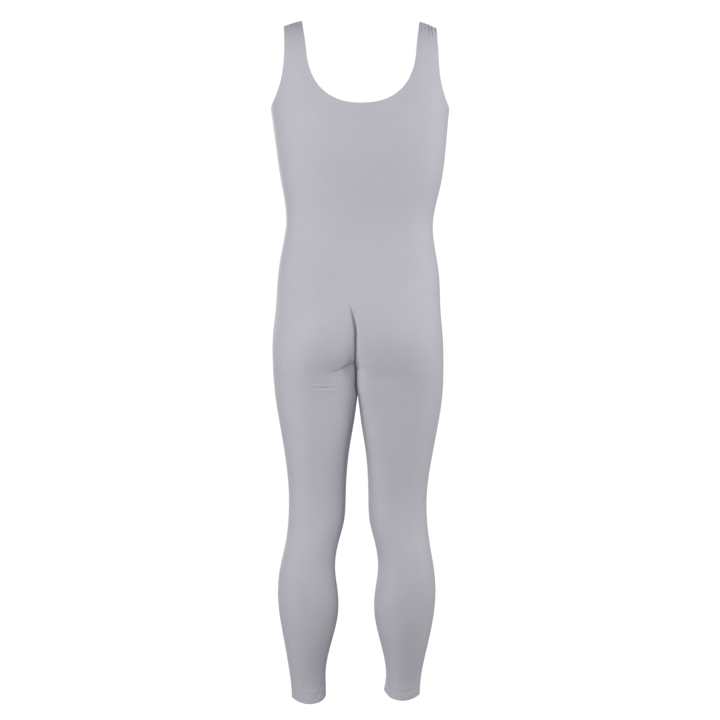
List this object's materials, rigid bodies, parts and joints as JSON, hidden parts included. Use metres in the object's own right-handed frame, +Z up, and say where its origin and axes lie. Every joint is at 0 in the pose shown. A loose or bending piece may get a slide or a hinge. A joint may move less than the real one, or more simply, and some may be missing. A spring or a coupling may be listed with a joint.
{
  "type": "dance unitard",
  "caption": "Sleeveless scoop-neck unitard in pale grey stretch jersey with long fitted legs to the ankle, hollow and filled out as when worn.",
  "frame": {"origin": "midway between the two shoulder straps, at the height of the shoulders' crest; the garment hangs below it", "axes": "+Z up, +Y towards the garment's back, -Y towards its front, +X towards the wearer's left"},
  "size_m": [0.3634, 0.2444, 1.3809],
  "materials": {
    "jersey": "smooth matt nylon and elastane jersey with a soft sheen"
  },
  "bodies": {
    "root": {"back_left": "jersey", "back_right": "jersey", "front_left": "jersey", "front_right": "jersey"}
  },
  "joints": []
}
